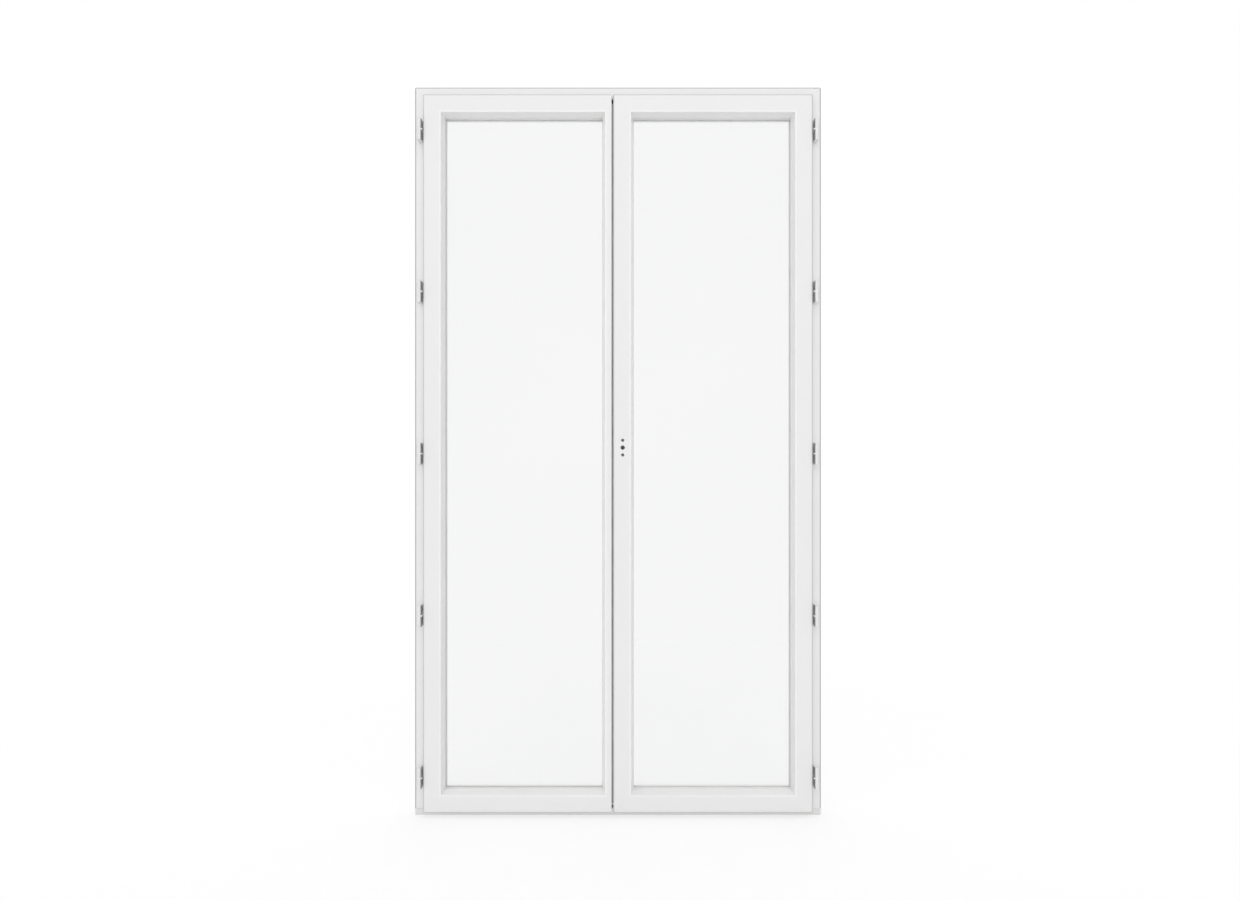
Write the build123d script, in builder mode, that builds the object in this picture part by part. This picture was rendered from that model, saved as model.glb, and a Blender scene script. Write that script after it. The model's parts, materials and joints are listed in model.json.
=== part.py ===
"""A glazed french door with its frame: two leaves that open inwards, hung on five barrel hinges each.

Millimetres. +X is to the right as seen from the room, +Y points outdoors and +Z is up.
The origin lies on the underside of the threshold, half way across the door and half way through the frame.
A section is drawn in two values: how far it lies in from the edge of its ring, and its place along Y.
"""

import os

from build123d import *

# Overall sizes
overall_width = 1200
overall_height = 2150
profile_depth = 70
threshold_height = 20

# Frame section
frame_inner_leg = 36
frame_outer_leg = 60
frame_corner_round = 6
frame_edge_round = 5
frame_inner_round = 1.5
frame_back_round = 2
frame_slope_width = 5
frame_slope_depth = 3
frame_seal_width = 5
frame_seal_inset = 1
wall_groove_half = 12
wall_groove_depth = 3
wall_hole_radius = 5.5
wall_hole_end_distance = 200
wall_holes_per_jamb = 4

# How a leaf meets the frame
hardware_gap = 12
lip_overlap = 8
lip_thickness = 17
seal_gap = 3
seal_clearance = 0.3
seal_shoulder = 1.2
lip_seal_start = 2
lip_seal_width = 5
bottom_lip_height = 13

# Leaf section, measured in from the edge of its lip
leaf_face = 52
leaf_corner_round = 4
bead_land = 5
bead_slope = 6
outer_leg_extra = 2
edge_setback = 4
edge_slope_start = 5
edge_slope_end = 11
back_chamfer = 2
sash_slope_width = 3
sash_slope_depth = 5
lip_round = 3
lip_back_round = 1

# Hardware groove round each leaf
groove_offset = 13
groove_width = 16
groove_depth = 2
channel_width = 11
channel_depth = 7

# Glazing
pane_thickness = 4
pane_spacing = 16
glass_recess = 32
glazing_gasket = 3
glass_clearance = 3
spacer_height = 6
bead_groove_front = 14
bead_groove_back = 20
bead_foot = 2.5
bead_fit = 0.2
bead_lift = 0.3
bead_round = 1
bead_step = 3
bead_step_width = 0.8
bead_nose_width = 1
bead_nose_depth = 4
bead_nose_edge = 2
glazing_seal_show = 0.6
spacer_inset = 1.5
setting_block_length = 100
setting_block_share = 0.27

# Meeting stiles
meeting_lip_from_middle = 14
meeting_gap = 4.5
cover_strip_thickness = 12
cover_strip_back = 20
cover_strip_front = 18
cover_strip_foot = 10
cover_strip_round = 3
cover_strip_end_gap = 4
meeting_round = 2

# Hinges
hinges_per_leaf = 5
hinge_end_distance = 105
hinge_height = 62
barrel_radius = 6
pin_radius = 3
pin_fit = 0.1
pin_press_fit = 0.05
pin_end_gap = 0.2
collar_height = 3.5
collar_nose_gap = 0.4
collar_nose_front = 3
collar_nose_back = 4
cap_height = 1.75
axis_proud = 7
strap_thickness = 3
strap_gap_thickness = 2.5
slit_width = 3.5
strap_round = 2
strap_notch_gap = 0.5
flange_depth = 24

# Lock in the active leaf
spindle_height = 1085
backset = 8
handle_hole_pitch = 43
handle_hole_radius = 5
handle_screw_radius = 2.75
spindle_hole_radius = 6.5
follower_radius = 5.2
follower_fit = 0.1
square_drive = 7
case_depth = 18
case_width = 12
case_height = 140
case_fit = 0.3
case_round = 3
rod_thickness = 5
rod_width = 9
rod_fit = 0.4
rod_travel = 20
rod_case_gap = 0.5
rod_tip_setback = 1
slot_clearance = 1
cam_end_distances = (287, 687)
cam_head_radius = 4.5
cam_stem_radius = 3
cam_reach = 7
striker_length = 60
striker_wall = 3
striker_reach = 7.5
striker_entry = 3

# Edge bolts in the passive leaf
bolt_plate_length = 210
bolt_length = 200
thumb_width = 6
thumb_length = 10
thumb_from_end = 30
thumb_setback = 0.3
thumb_clearance = 0.5

# Threshold
cap_thickness = 4
cap_round = 3
cap_top_round = 1
rail_step_height = 14
rail_outer_height = 9
rail_front_width = 20
break_front = -3
break_back = 7
rail_wall = 3
rail_front_slope = 2
rail_edge_round = 2
dovetail_depth = 2
dovetail_low = 4
dovetail_high = 10
dovetail_taper = 1
keep_thickness = 2
keep_end = 5
keep_round = 2
keep_clearance = 0.6
pocket_clearance = 1
pocket_depth = 10

# Weather bar along the outside of each leaf's foot
weather_bar_height = 44
weather_bar_reach = 30
weather_bar_lift = 13
weather_bar_jamb_gap = 3
weather_bar_strip_gap = 24
weather_bar_foot_gap = 2
weather_bar_skin = 3
weather_bar_nose_height = 8
weather_bar_nose_round = 4
weather_bar_groove_rise = 5
weather_bar_back_rise = 14
weather_bar_back_skin = 4

# Places that follow from the sizes above
half_width = overall_width / 2
front_face = -profile_depth / 2
back_face = profile_depth / 2
leaf_front = front_face - seal_gap - lip_thickness
leaf_back = leaf_front + profile_depth
lip_back = leaf_front + lip_thickness
frame_seat = leaf_back + seal_gap
lip_width = lip_overlap + hardware_gap
leaf_edge_inset = frame_inner_leg - lip_overlap
rebate_floor = leaf_face - bead_land
sight_line = leaf_face + bead_slope
outer_sight_line = sight_line + outer_leg_extra
inner_pane_front = leaf_front + glass_recess
outer_pane_front = inner_pane_front + pane_thickness + pane_spacing
glass_back = outer_pane_front + pane_thickness
bead_back = inner_pane_front - glazing_gasket
outer_leg_front = glass_back + glazing_gasket
glass_inset = rebate_floor + glass_clearance
groove_middle = lip_back + groove_offset
groove_front = groove_middle - groove_width / 2
groove_back = groove_middle + groove_width / 2
channel_front = groove_middle - channel_width / 2
channel_back = groove_middle + channel_width / 2
groove_floor = lip_width + groove_depth
channel_floor = groove_floor + channel_depth
leaf_bottom = bottom_lip_height
leaf_top = overall_height - leaf_edge_inset
leaf_outer_x = half_width - leaf_edge_inset
passive_face_end = -meeting_lip_from_middle - meeting_gap
meeting_edge = lip_width - meeting_lip_from_middle
axis_x = leaf_outer_x + slit_width + barrel_radius
axis_y = leaf_front - axis_proud
head_rebate = overall_height - frame_inner_leg
rod_inset = groove_floor + rod_fit
rod_middle_x = rod_inset + rod_thickness / 2 - meeting_lip_from_middle
spindle_x = meeting_edge + backset
body_bottom = leaf_bottom + lip_width
body_top = leaf_top - lip_width
keep_half_length = rod_middle_x + rod_thickness / 2 + keep_end
rail_step = front_face + rail_front_width

# A leaf's ring, as left, right, bottom and top of its lip
active_ring = (-meeting_lip_from_middle, leaf_outer_x, leaf_bottom, leaf_top)
passive_ring = (-leaf_outer_x, meeting_lip_from_middle, leaf_bottom, leaf_top)

hinge_pitch = (leaf_top - leaf_bottom - 2 * hinge_end_distance) / (hinges_per_leaf - 1)
wall_hole_pitch = (overall_height - 2 * wall_hole_end_distance) / (wall_holes_per_jamb - 1)
wall_hole_heights = [wall_hole_end_distance + i * wall_hole_pitch for i in range(wall_holes_per_jamb)]
hinge_heights = [leaf_bottom + hinge_end_distance + i * hinge_pitch for i in range(hinges_per_leaf)]
half_collar = collar_height / 2
knuckle_end = hinge_height / 2
bore_end = knuckle_end - cap_height

os.makedirs("parts", exist_ok=True)


def save(builder, name):
    """Labels a finished piece and writes it to its own file."""
    builder.part.label = name
    export_step(builder.part, f"parts/{name}.step")


def draw_section(points, rounds=()):
    """Fills a closed outline in the sketch, then rounds the corners that are named by their points."""
    with BuildLine(mode=Mode.PRIVATE) as outline:
        Polyline(*points, close=True)
    make_face(outline.edges())
    for corner, radius in rounds:
        nearest = vertices().sort_by_distance(Vector(*corner, 0))[0]
        fillet(nearest, radius)


def section_plane(x, z):
    """The plane of a section at the left of a ring: its own x runs inwards and its own y along +Y."""
    return Plane(origin=(x, 0, z), x_dir=(1, 0, 0), z_dir=(0, 0, 1))


def ring_sweep(ring, points, rounds=()):
    """Carries a section round the four sides of a leaf, with mitred corners, as a welded frame has."""
    left, right, bottom, top = ring
    middle = (bottom + top) / 2
    start = (left, 0, middle)
    with BuildPart() as swept:
        with BuildLine() as path:
            Polyline(start, (left, 0, top), (right, 0, top), (right, 0, bottom), (left, 0, bottom), start)
        with BuildSketch(section_plane(left, middle)):
            draw_section(points, rounds)
        sweep(path=path.line, transition=Transition.RIGHT)
    return swept.part


def portal_sweep(points, rounds=()):
    """Carries a section up one jamb, across the head and down the other jamb."""
    with BuildPart() as swept:
        with BuildLine() as path:
            Polyline(
                (-half_width, 0, threshold_height),
                (-half_width, 0, overall_height),
                (half_width, 0, overall_height),
                (half_width, 0, threshold_height),
            )
        with BuildSketch(section_plane(-half_width, threshold_height)):
            draw_section(points, rounds)
        sweep(path=path.line, transition=Transition.RIGHT)
    return swept.part


def box_between(low, high, mode=Mode.ADD):
    """A box from its lowest corner to its highest one, in the part being built."""
    size = [b - a for a, b in zip(low, high)]
    middle = [(a + b) / 2 for a, b in zip(low, high)]
    with Locations(tuple(middle)):
        Box(*size, mode=mode)


def flat_ring(ring, outer_inset, inner_inset, front, back):
    """A plain rectangular ring between two insets from a leaf's edge, and between two places along Y."""
    left, right, bottom, top = ring
    middle = ((left + right) / 2, (bottom + top) / 2)
    width = right - left
    height = top - bottom
    with BuildPart() as flat:
        with BuildSketch(Plane.XZ.offset(-back)):
            with Locations(middle):
                Rectangle(width - 2 * outer_inset, height - 2 * outer_inset)
                Rectangle(width - 2 * inner_inset, height - 2 * inner_inset, mode=Mode.SUBTRACT)
        extrude(amount=back - front)
    return flat


# The frame: two jambs and a head, welded into one piece
def outer_frame():
    frame_section = [
        (0, front_face),
        (frame_inner_leg, front_face),
        (frame_inner_leg, frame_seat),
        (frame_outer_leg, frame_seat),
        (frame_outer_leg, back_face - frame_slope_depth),
        (frame_outer_leg - frame_slope_width, back_face),
        (0, back_face),
        (0, wall_groove_half),
        (wall_groove_depth, wall_groove_half),
        (wall_groove_depth, -wall_groove_half),
        (0, -wall_groove_half),
    ]
    rounds = [
        ((0, front_face), frame_edge_round),
        ((frame_inner_leg, front_face), frame_inner_round),
        ((0, back_face), frame_back_round),
    ]
    with BuildPart() as frame:
        add(portal_sweep(frame_section, rounds))
        with BuildSketch(Plane.XZ.offset(-back_face)):
            RectangleRounded(overall_width, 2 * overall_height, frame_corner_round)
        extrude(amount=profile_depth, mode=Mode.INTERSECT)
        for side in (-1, 1):
            cut_jamb_holes(side)
        cut_head_pockets()
    return frame


def cut_jamb_holes(side):
    """Holes through a jamb for the screws into the wall."""
    for height in wall_hole_heights:
        with BuildSketch(Plane(origin=(side * half_width, 0, height), z_dir=(-side, 0, 0))) as hole:
            Circle(wall_hole_radius)
        extrude(hole.sketch, amount=frame_inner_leg + 1, mode=Mode.SUBTRACT)


def cut_pocket(side, clearance, low, high):
    """An opening round the tip of the lock rod, on side 1, or of the edge bolt, on side -1."""
    half_x = rod_thickness / 2 + clearance
    half_y = rod_width / 2 + clearance
    middle = side * rod_middle_x
    box_between(
        (middle - half_x, groove_middle - half_y, low),
        (middle + half_x, groove_middle + half_y, high),
        Mode.SUBTRACT,
    )


def cut_head_pockets():
    """Two pockets in the head's rebate that take the tips of the lock rod and of the edge bolt."""
    for side in (-1, 1):
        cut_pocket(side, pocket_clearance, head_rebate, head_rebate + pocket_depth)


def frame_gasket():
    """The seal in the frame's outer leg, which the back of each leaf closes on."""
    outer = frame_outer_leg - frame_seal_inset
    inner = outer - frame_seal_width
    points = [
        (inner, frame_seat),
        (inner, leaf_back + seal_shoulder),
        ((inner + outer) / 2, leaf_back + seal_clearance),
        (outer, leaf_back + seal_shoulder),
        (outer, frame_seat),
    ]
    with BuildPart() as gasket:
        add(portal_sweep(points))
    return gasket


# The threshold: two aluminium rails either side of a thermal break
def threshold_bar(points, rounds=()):
    """A bar along the threshold, drawn in Y and Z."""
    length = overall_width - 2 * cap_thickness
    with BuildPart() as bar:
        with BuildSketch(Plane.YZ.offset(-length / 2)):
            draw_section(points, rounds)
        extrude(amount=length)
    return bar


def cut_channel(front, back, top):
    """The open channel under a rail."""
    half = overall_width / 2
    box_between((-half, front, 0), (half, back, top), Mode.SUBTRACT)


def dovetail(y, way):
    """The dovetail between a rail and the thermal break, from the top down; way is where it points."""
    return [
        (y, rail_step_height),
        (y, dovetail_high - dovetail_taper),
        (y + way * dovetail_depth, dovetail_high),
        (y + way * dovetail_depth, dovetail_low),
        (y, dovetail_low + dovetail_taper),
        (y, 0),
    ]


def threshold_inner_rail():
    points = [
        (front_face, 0),
        (front_face, threshold_height),
        (rail_step, threshold_height),
        (rail_step + rail_front_slope, rail_step_height),
        *dovetail(break_front, -1),
    ]
    rail = threshold_bar(points, [((front_face, threshold_height), rail_edge_round)])
    with rail:
        cut_channel(front_face + rail_wall, rail_step - rail_wall, threshold_height - rail_wall)
        for side in (-1, 1):
            cut_pocket(side, pocket_clearance, threshold_height - pocket_depth, threshold_height)
    return rail


def threshold_outer_rail():
    points = [(back_face, 0), (back_face, rail_outer_height), *dovetail(break_back, 1)]
    rail = threshold_bar(points, [((back_face, rail_outer_height), rail_edge_round)])
    with rail:
        front = break_back + dovetail_depth + rail_wall
        cut_channel(front, back_face - rail_wall, rail_outer_height - rail_wall)
    return rail


def threshold_thermal_break():
    """The plastic bar between the rails, held by a dovetail on each side."""
    return threshold_bar([*reversed(dovetail(break_front, -1)), *dovetail(break_back, 1)])


def threshold_end_cap(side):
    """The moulded cap that closes one end of the threshold."""
    inner = side * (half_width - cap_thickness)
    outer = side * half_width
    corners = [(inner, 0), (outer, 0), (outer, threshold_height), (inner, threshold_height)]
    with BuildPart() as cap:
        with BuildSketch(Plane.XZ.offset(-back_face)):
            draw_section(corners, [(corners[1], cap_round), (corners[2], cap_top_round)])
        extrude(amount=profile_depth)
    return cap


def jamb_foot(side):
    """The filler that carries a jamb over the low part of the threshold."""
    points = [
        (rail_step, threshold_height),
        (rail_step + rail_front_slope, rail_step_height),
        (break_back, rail_step_height),
        (back_face, rail_outer_height),
        (back_face, threshold_height),
    ]
    with BuildPart() as foot:
        with BuildSketch(Plane.YZ.offset(side * (half_width - frame_outer_leg))):
            draw_section(points)
        extrude(amount=side * (frame_outer_leg - cap_thickness))
    return foot


# Keeps: the plates that the lock rod and the edge bolt shoot into
def keep_plate(bottom, top):
    with BuildPart() as keep:
        box_between((-keep_half_length, groove_front, bottom), (keep_half_length, groove_back, top))
        fillet(keep.edges().filter_by(Axis.Z), keep_round)
        for side in (-1, 1):
            cut_pocket(side, keep_clearance, bottom, top)
    return keep


# Leaves: each sash is one welded ring
def sash_points():
    """The sash's section: lip, hardware groove and channel, set-back edge, outer leg and glazing rebate."""
    return [
        (0, leaf_front),
        (0, lip_back),
        (lip_width, lip_back),
        (lip_width, groove_front),
        (groove_floor, groove_front),
        (groove_floor, channel_front),
        (channel_floor, channel_front),
        (channel_floor, channel_back),
        (groove_floor, channel_back),
        (groove_floor, groove_back),
        (lip_width, groove_back),
        (lip_width, groove_back + edge_slope_start),
        (lip_width + edge_setback, groove_back + edge_slope_end),
        (lip_width + edge_setback, leaf_back - back_chamfer),
        (lip_width + edge_setback + back_chamfer, leaf_back),
        (outer_sight_line - sash_slope_width, leaf_back),
        (outer_sight_line, leaf_back - sash_slope_depth),
        (outer_sight_line, outer_leg_front),
        (rebate_floor, outer_leg_front),
        (rebate_floor, leaf_front + bead_groove_back),
        (rebate_floor - bead_foot, leaf_front + bead_groove_back),
        (rebate_floor - bead_foot, leaf_front + bead_groove_front),
        (rebate_floor, leaf_front + bead_groove_front),
        (rebate_floor, leaf_front),
    ]


def sash(ring):
    """The welded ring, with the corners of its lip rounded as they are cleaned after welding."""
    left, right, bottom, top = ring
    rounds = [((0, leaf_front), lip_round), ((0, lip_back), lip_back_round)]
    with BuildPart() as leaf:
        add(ring_sweep(ring, sash_points(), rounds))
        with BuildSketch(Plane.XZ.offset(-leaf_back)):
            with Locations(((left + right) / 2, (bottom + top) / 2)):
                RectangleRounded(right - left, top - bottom, leaf_corner_round)
        extrude(amount=profile_depth, mode=Mode.INTERSECT)
    return leaf.part


def active_sash():
    """The leaf that opens first, with its lock pocket and the three holes for a handle."""
    half_y = case_width / 2 + case_fit
    half_z = case_height / 2 + case_fit
    pocket_end = meeting_edge + groove_depth + case_depth + case_fit
    face = Plane(origin=(spindle_x, leaf_front, spindle_height), x_dir=(1, 0, 0), z_dir=(0, 1, 0))
    with BuildPart() as leaf:
        add(sash(active_ring))
        box_between(
            (meeting_edge, groove_middle - half_y, spindle_height - half_z),
            (pocket_end, groove_middle + half_y, spindle_height + half_z),
            Mode.SUBTRACT,
        )
        with BuildSketch(face):
            Circle(spindle_hole_radius)
            with GridLocations(0, handle_hole_pitch, 1, 2):
                Circle(handle_hole_radius)
        extrude(amount=groove_middle - leaf_front, mode=Mode.SUBTRACT)
    return leaf


def passive_sash():
    """The leaf that opens second: its meeting stile is rebated for the other leaf's lip."""
    with BuildPart() as leaf:
        add(sash(passive_ring))
        box_between(
            (passive_face_end, leaf_front - 1, leaf_bottom - 1),
            (meeting_lip_from_middle + 1, front_face, leaf_top + 1),
            Mode.SUBTRACT,
        )
        corner = Vector(passive_face_end, leaf_front, (leaf_bottom + leaf_top) / 2)
        fillet(leaf.edges().filter_by(Axis.Z).sort_by_distance(corner)[0], meeting_round)
    return leaf


# Glazing beads: four mitred lengths that clip into each sash
def side_plane(ring, side):
    """Where the section of one side of a ring stands, and how long that side is."""
    left, right, bottom, top = ring
    planes = {
        "left": Plane(origin=(left, 0, bottom), x_dir=(1, 0, 0), z_dir=(0, 0, 1)),
        "right": Plane(origin=(right, 0, top), x_dir=(-1, 0, 0), z_dir=(0, 0, -1)),
        "bottom": Plane(origin=(right, 0, bottom), x_dir=(0, 0, 1), z_dir=(-1, 0, 0)),
        "top": Plane(origin=(left, 0, top), x_dir=(0, 0, -1), z_dir=(1, 0, 0)),
    }
    length = top - bottom if side in ("left", "right") else right - left
    return planes[side], length


def glazing_bead(ring, side):
    """A bead with a flat land beside the sash's face, a small step and a slope down to the glass."""
    plane, length = side_plane(ring, side)
    land = leaf_front + bead_lift
    foot = rebate_floor - bead_foot + bead_fit
    foot_front = leaf_front + bead_groove_front + bead_fit
    foot_back = leaf_front + bead_groove_back - bead_fit
    points = [
        (rebate_floor, land),
        (leaf_face, land),
        (leaf_face + bead_step_width, land + bead_step),
        (sight_line - bead_nose_width, bead_back - bead_nose_depth),
        (sight_line, bead_back - bead_nose_edge),
        (sight_line, bead_back),
        (rebate_floor, bead_back),
        (rebate_floor, foot_back),
        (foot, foot_back),
        (foot, foot_front),
        (rebate_floor, foot_front),
    ]
    start_cut = Plane(origin=plane.origin, z_dir=plane.z_dir - plane.x_dir)
    far_end = plane.origin + plane.z_dir * length
    end_cut = Plane(origin=far_end, z_dir=-plane.z_dir - plane.x_dir)
    with BuildPart() as bead:
        with BuildSketch(plane):
            draw_section(points, [((leaf_face, land), bead_round)])
        extrude(amount=length)
        split(bisect_by=start_cut, keep=Keep.TOP)
        split(bisect_by=end_cut, keep=Keep.TOP)
    return bead


# Sealed double glazing and what seats it
def glass_pane(ring, front):
    left, right, bottom, top = ring
    with BuildPart() as pane:
        box_between(
            (left + glass_inset, front, bottom + glass_inset),
            (right - glass_inset, front + pane_thickness, top - glass_inset),
        )
    return pane


def setting_blocks(ring):
    """Two packers under the glass and two up each side, which centre it in the rebate."""
    left, right, bottom, top = ring
    width = right - left
    height = top - bottom
    half = setting_block_length / 2
    front = inner_pane_front
    back = glass_back
    with BuildPart() as blocks:
        for share in (setting_block_share, 1 - setting_block_share):
            x = left + share * width
            box_between((x - half, front, bottom + rebate_floor), (x + half, back, bottom + glass_inset))
            z = bottom + share * height
            box_between((left + rebate_floor, front, z - half), (left + glass_inset, back, z + half))
            box_between((right - glass_inset, front, z - half), (right - rebate_floor, back, z + half))
    return blocks


def lip_gasket(ring, hinge_side, meeting_cut):
    """The seal behind a leaf's lip, notched where the hinge straps pass."""
    points = [
        (lip_seal_start, lip_back),
        (lip_seal_start + lip_seal_width, lip_back),
        (lip_seal_start + lip_seal_width, front_face - seal_shoulder),
        (lip_seal_start + lip_seal_width / 2, front_face - seal_clearance),
        (lip_seal_start, front_face - seal_shoulder),
    ]
    left, right, bottom, top = ring
    edge = right if hinge_side > 0 else left
    with BuildPart() as gasket:
        add(ring_sweep(ring, points))
        for height in hinge_heights:
            low = height + half_collar - strap_notch_gap
            high = height + knuckle_end + strap_notch_gap
            box_between(
                (edge - lip_width, lip_back, low),
                (edge + lip_width, front_face, high),
                Mode.SUBTRACT,
            )
        if meeting_cut:
            box_between((passive_face_end, lip_back, bottom), (right, front_face, top), Mode.SUBTRACT)
    return gasket


def weather_bar(left, right):
    """The drip bar on the outside of a leaf's foot, which throws rain clear of the threshold."""
    foot = leaf_bottom + weather_bar_lift
    top = foot + weather_bar_height
    nose = leaf_back + weather_bar_reach
    back = foot + weather_bar_back_rise
    points = [
        (leaf_back, top),
        (leaf_back + weather_bar_skin, top),
        (nose - weather_bar_skin, foot + weather_bar_nose_height + weather_bar_nose_round),
        (nose, foot + weather_bar_nose_height),
        (nose, foot),
        (nose - weather_bar_skin, foot),
        (nose - weather_bar_skin, foot + weather_bar_groove_rise),
        (leaf_back + weather_bar_back_skin, back),
        (leaf_back, back),
    ]
    with BuildPart() as bar:
        with BuildSketch(Plane.YZ.offset(left)):
            draw_section(points)
        extrude(amount=right - left)
    return bar


def meeting_cover_strip():
    """The strip outside the passive leaf's meeting stile, which laps over the active leaf."""
    low = threshold_height + cover_strip_end_gap
    high = overall_height - frame_outer_leg - cover_strip_end_gap
    far = -cover_strip_back - cover_strip_foot
    edge = -meeting_edge - edge_setback
    top = frame_seat + cover_strip_thickness
    points = [
        (far, leaf_back),
        (edge, leaf_back),
        (edge, frame_seat),
        (cover_strip_front, frame_seat),
        (cover_strip_front, top),
        (far, top),
    ]
    rounds = [((cover_strip_front, top), cover_strip_round), ((far, top), cover_strip_round)]
    with BuildPart() as strip:
        with BuildSketch(Plane.XY.offset(low)):
            draw_section(points, rounds)
        extrude(amount=high - low)
    return strip


# Hinges: a fixed base, a cranked strap on the leaf, a pin that stands in both and a collar between them
def beside(side, x, y):
    """A point beside a hinge axis: x is outwards from the axis towards the jamb, y is along +Y."""
    return (side * (axis_x + x), axis_y + y)


def hinge_bases(side):
    foot = front_face - axis_y
    r = barrel_radius
    corners = [beside(side, x, y) for x, y in ((-r, 0), (r, 0), (r, foot), (-r, foot))]
    with BuildPart() as bases:
        for height in hinge_heights:
            low = height - knuckle_end
            high = height - half_collar
            with BuildSketch(Plane.XY.offset(low)):
                draw_section(corners)
                with Locations(beside(side, 0, 0)):
                    Circle(barrel_radius)
            extrude(amount=high - low)
            with BuildSketch(Plane.XY.offset(high)):
                with Locations(beside(side, 0, 0)):
                    Circle(pin_radius + pin_press_fit)
            extrude(amount=-(high - low - cap_height), mode=Mode.SUBTRACT)
    return bases


def hinge_straps(side):
    """Cranked straps: over the pin, back beside the lip, under it and along the leaf's edge."""
    t = strap_thickness
    inner = lip_back - axis_y
    outer = inner + strap_gap_thickness
    edge = -(lip_width + slit_width + barrel_radius)
    outline = [
        (-barrel_radius, 0),
        (-barrel_radius, inner),
        (edge, inner),
        (edge, inner + flange_depth),
        (edge + t, inner + flange_depth),
        (edge + t, outer),
        (-barrel_radius + t, outer),
        (-barrel_radius + t, 0),
    ]
    points = [beside(side, x, y) for x, y in outline]
    with BuildPart() as straps:
        for height in hinge_heights:
            low = height + half_collar
            with BuildSketch(Plane.XY.offset(low)):
                draw_section(points, [(beside(side, -barrel_radius + t, outer), strap_round)])
                with Locations(beside(side, 0, 0)):
                    Circle(barrel_radius)
            extrude(amount=knuckle_end - half_collar)
            with BuildSketch(Plane.XY.offset(low)):
                with Locations(beside(side, 0, 0)):
                    Circle(pin_radius + pin_fit)
            extrude(amount=bore_end - half_collar, mode=Mode.SUBTRACT)
    return straps


def hinge_pins(side):
    """Pins pressed into the bases, which the straps turn on; a leaf lifts off them."""
    reach = bore_end - pin_end_gap
    with BuildPart() as pins:
        for height in hinge_heights:
            with Locations((*beside(side, 0, 0), height)):
                Cylinder(pin_radius, 2 * reach)
    return pins


def hinge_collars(side):
    """Bearing collars between the two halves, with a nose that fills the slit beside the lip."""
    nose = -(barrel_radius + slit_width - collar_nose_gap)
    front = -collar_nose_front
    back = collar_nose_back
    corners = [beside(side, x, y) for x, y in ((0, front), (nose, front), (nose, back), (0, back))]
    with BuildPart() as collars:
        for height in hinge_heights:
            with BuildSketch(Plane.XY.offset(height - half_collar)):
                draw_section(corners)
                with Locations(beside(side, 0, 0)):
                    Circle(barrel_radius)
                    Circle(pin_radius + pin_fit, mode=Mode.SUBTRACT)
            extrude(amount=collar_height)
    return collars


# The lock: a case with its follower, a slotted faceplate, and two rods with cams
def case_front():
    """The plane of the case's front, centred on the spindle and facing into the case."""
    origin = (spindle_x, groove_middle - case_width / 2, spindle_height)
    return Plane(origin=origin, x_dir=(1, 0, 0), z_dir=(0, 1, 0))


def gearbox_case():
    left = meeting_edge + groove_depth
    with BuildPart() as case:
        box_between(
            (left, groove_middle - case_width / 2, spindle_height - case_height / 2),
            (left + case_depth, groove_middle + case_width / 2, spindle_height + case_height / 2),
        )
        fillet(case.edges().filter_by(Axis.Y).group_by(Axis.X)[-1], case_round)
        with BuildSketch(case_front()):
            Circle(follower_radius + follower_fit)
            with GridLocations(0, handle_hole_pitch, 1, 2):
                Circle(handle_screw_radius)
        extrude(amount=case_width, mode=Mode.SUBTRACT)
    return case


def spindle_follower():
    """The hub that a handle's square spindle turns."""
    with BuildPart() as follower:
        with BuildSketch(case_front()):
            Circle(follower_radius)
            Rectangle(square_drive, square_drive, mode=Mode.SUBTRACT)
        extrude(amount=case_width)
    return follower


def edge_plate(side, low, high):
    """A plate let into the groove of a meeting edge; the active leaf's edge is on side 1."""
    near = side * meeting_edge
    far = side * (meeting_edge + groove_depth)
    box_between((min(near, far), groove_front, low), (max(near, far), groove_back, high))


def lock_faceplate():
    """The long plate over the rods, slotted where each cam travels."""
    slot_width = 2 * cam_stem_radius + slot_clearance
    with BuildPart() as plate:
        edge_plate(1, leaf_bottom + groove_floor, leaf_top - groove_floor)
        for height, way in cams():
            slot_middle = height + way * rod_travel / 2
            slot = Plane(origin=(meeting_edge, groove_middle, slot_middle), x_dir=(0, 0, 1), z_dir=(1, 0, 0))
            with BuildSketch(slot):
                SlotOverall(rod_travel + slot_width, slot_width)
            extrude(amount=groove_depth, mode=Mode.SUBTRACT)
    return plate


def cams():
    """Each cam's height at rest and the way it travels when the lock is turned."""
    lower = [(leaf_bottom + distance, -1) for distance in cam_end_distances]
    upper = [(leaf_top - distance, 1) for distance in cam_end_distances]
    return lower + upper


def rod_box(side, low, high):
    near = rod_middle_x - rod_thickness / 2
    far = rod_middle_x + rod_thickness / 2
    left = min(side * near, side * far)
    right = max(side * near, side * far)
    box_between((left, groove_middle - rod_width / 2, low), (right, groove_middle + rod_width / 2, high))


def rod_tip(way):
    """How far up, or down, a rod or bolt reaches while it is withdrawn."""
    return body_top - rod_tip_setback if way > 0 else body_bottom + rod_tip_setback


def lock_rod(way):
    """A rod that shoots into its keep, with the cams riveted to it; way is 1 for the upper rod."""
    near_case = spindle_height + way * (case_height / 2 + rod_case_gap)
    tip = rod_tip(way)
    rod_front = rod_middle_x - rod_thickness / 2
    head_x = meeting_edge - cam_reach
    with BuildPart() as rod:
        rod_box(1, min(near_case, tip), max(near_case, tip))
        for height, cam_way in cams():
            if cam_way == way:
                cam = Plane(origin=(head_x, groove_middle, height), z_dir=(1, 0, 0))
                with BuildSketch(cam):
                    Circle(cam_head_radius)
                extrude(amount=cam_reach / 2)
                with BuildSketch(cam):
                    Circle(cam_stem_radius)
                extrude(amount=rod_front - head_x)
    return rod


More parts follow.
